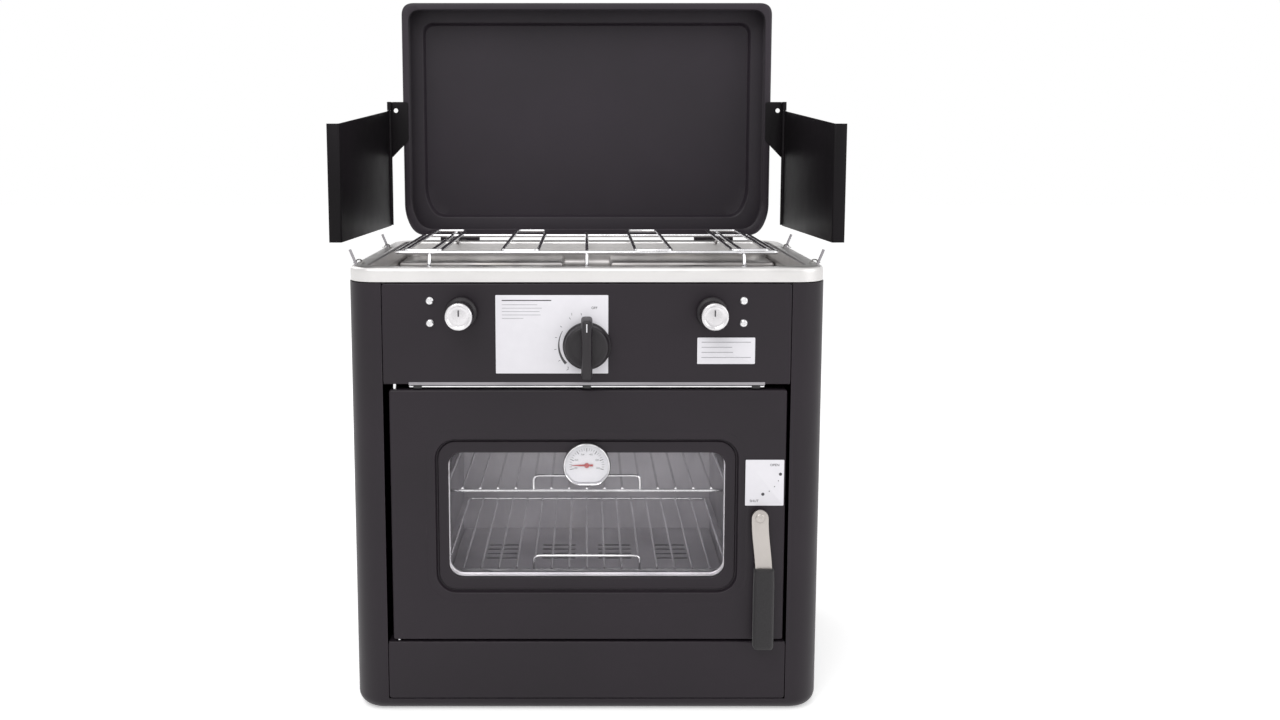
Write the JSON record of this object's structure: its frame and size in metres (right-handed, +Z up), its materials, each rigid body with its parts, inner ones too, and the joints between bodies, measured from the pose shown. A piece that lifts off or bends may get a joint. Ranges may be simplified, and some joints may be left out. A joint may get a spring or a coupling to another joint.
{
  "type": "camp oven",
  "caption": "Portable gas camp oven: glazed side-hinged oven door with racks, hob with grate under a fold-up lid, side wind panels and push-and-turn knobs.",
  "frame": {"origin": "middle of the flat underside of the cabinet", "axes": "+Z up, -Y towards the user at the oven door, +X to the user's right"},
  "size_m": [0.5092, 0.3635, 0.708],
  "materials": {
    "black_paint": "satin black baked enamel paint",
    "stainless": "pressed stainless sheet",
    "chrome_wire": "bright chromed wire and trim",
    "cast_alloy": "grey cast alloy",
    "cap_enamel": "black vitreous enamel",
    "black_plastic": "black heat-proof moulding",
    "silicone": "black silicone sleeve",
    "seal_rope": "dark heat-proof seal",
    "glass": "clear toughened glass",
    "brass": "turned brass",
    "white_plate": "white painted sheet, blank",
    "needle_red": "red paint"
  },
  "bodies": {
    "cabinet": {"cabinet_shell": "black_paint", "control_panel": "black_paint", "lower_rail": "black_paint", "panel_screw_1": "chrome_wire", "panel_screw_2": "chrome_wire", "panel_screw_3": "chrome_wire", "panel_screw_4": "chrome_wire", "panel_rod": "chrome_wire", "door_pin_top": "chrome_wire", "door_pin_bottom": "chrome_wire", "control_plate": "white_plate", "small_plate": "white_plate", "oven_liner": "stainless", "oven_burner": "stainless", "oven_feed_pipe": "brass", "oven_floor": "stainless", "rack_runner_left": "stainless", "rack_runner_right": "stainless", "oven_rack_1": "chrome_wire", "oven_rack_2": "chrome_wire", "oven_seal": "seal_rope", "hob_tray": "stainless", "burner_left": "cast_alloy", "burner_right": "cast_alloy", "burner_cap_left": "cap_enamel", "burner_cap_right": "cap_enamel", "gas_manifold": "brass", "gas_inlet": "brass", "gas_valve_left": "brass", "gas_valve_oven": "brass", "gas_valve_right": "brass", "hinge_leaf_left": "black_paint", "hinge_leaf_right": "black_paint"},
    "stem_left": {"knob_stem_left": "stainless"},
    "stem_oven": {"knob_stem_oven": "stainless"},
    "stem_right": {"knob_stem_right": "stainless"},
    "knob_left": {"burner_knob_left": "black_plastic"},
    "knob_oven": {"oven_knob": "black_plastic"},
    "knob_right": {"burner_knob_right": "black_plastic"},
    "grate": {"pan_grate": "chrome_wire"},
    "door": {"door_panel": "black_paint", "glass_seal": "seal_rope", "door_glass": "glass", "door_liner": "stainless", "thermometer_case": "chrome_wire", "thermometer_dial": "white_plate", "latch_plate": "white_plate"},
    "needle": {"thermometer_needle": "needle_red"},
    "latch": {"latch_lever": "stainless", "latch_grip": "silicone", "latch_tongue": "stainless"},
    "lid": {"lid_pan": "black_paint", "lid_leaf_left": "black_paint", "lid_leaf_right": "black_paint", "wing_bracket_left": "black_paint", "wing_bracket_right": "black_paint"},
    "wing_left": {"wind_panel_left": "black_paint"},
    "wing_right": {"wind_panel_right": "black_paint"},
    "stay_left": {"wing_stay_left": "chrome_wire"},
    "stay_right": {"wing_stay_right": "chrome_wire"}
  },
  "joints": [
    {"name": "door_swing", "type": "hinge", "parent": "cabinet", "child": "door", "pos_m": [-0.181, -0.1375, 0.19], "axis": [0, 0, -1], "range_deg": [0, 115]},
    {"name": "latch_turn", "type": "hinge", "parent": "door", "child": "latch", "pos_m": [0.1635, -0.1425, 0.1955], "axis": [0, -1, 0], "range_deg": [0, 90]},
    {"name": "lid_fold", "type": "hinge", "parent": "cabinet", "child": "lid", "pos_m": [0, 0.146, 0.434], "axis": [-1, 0, 0], "range_deg": [-90, 0]},
    {"name": "wing_left_fold", "type": "hinge", "parent": "lid", "child": "wing_left", "pos_m": [-0.2306, 0.142, 0.4492], "axis": [0, 0, 1], "range_deg": [0, 86]},
    {"name": "wing_right_fold", "type": "hinge", "parent": "lid", "child": "wing_right", "pos_m": [0.2306, 0.142, 0.4492], "axis": [0, 0, -1], "range_deg": [0, 86]},
    {"name": "stay_left_fold", "type": "hinge", "parent": "cabinet", "child": "stay_left", "pos_m": [-0.2195, 0, 0.4296], "axis": [0, 1, 0], "range_deg": [0, 108]},
    {"name": "stay_right_fold", "type": "hinge", "parent": "cabinet", "child": "stay_right", "pos_m": [0.2195, 0, 0.4296], "axis": [0, -1, 0], "range_deg": [0, 108]},
    {"name": "grate_lift", "type": "slide", "parent": "cabinet", "child": "grate", "axis": [0, 0, 1], "range_m": [0, 0.015]},
    {"name": "gauge_needle", "type": "hinge", "parent": "door", "child": "needle", "pos_m": [0, -0.1425, 0.2445], "axis": [0, 1, 0], "range_deg": [0, 180]},
    {"name": "left_push", "type": "slide", "parent": "cabinet", "child": "stem_left", "axis": [0, 1, 0], "range_m": [0, 0.003], "stiffness_N_per_m": 900, "springref_m": -0.003},
    {"name": "left_turn", "type": "hinge", "parent": "stem_left", "child": "knob_left", "pos_m": [-0.1161, -0.1425, 0.391], "axis": [0, 1, 0], "range_deg": [-180, 0]},
    {"name": "oven_push", "type": "slide", "parent": "cabinet", "child": "stem_oven", "axis": [0, 1, 0], "range_m": [0, 0.003], "stiffness_N_per_m": 900, "springref_m": -0.003},
    {"name": "oven_turn", "type": "hinge", "parent": "stem_oven", "child": "knob_oven", "pos_m": [0, -0.1425, 0.36], "axis": [0, 1, 0], "range_deg": [-270, 0]},
    {"name": "right_push", "type": "slide", "parent": "cabinet", "child": "stem_right", "axis": [0, 1, 0], "range_m": [0, 0.003], "stiffness_N_per_m": 900, "springref_m": -0.003},
    {"name": "right_turn", "type": "hinge", "parent": "stem_right", "child": "knob_right", "pos_m": [0.1161, -0.1425, 0.391], "axis": [0, 1, 0], "range_deg": [-180, 0]}
  ]
}
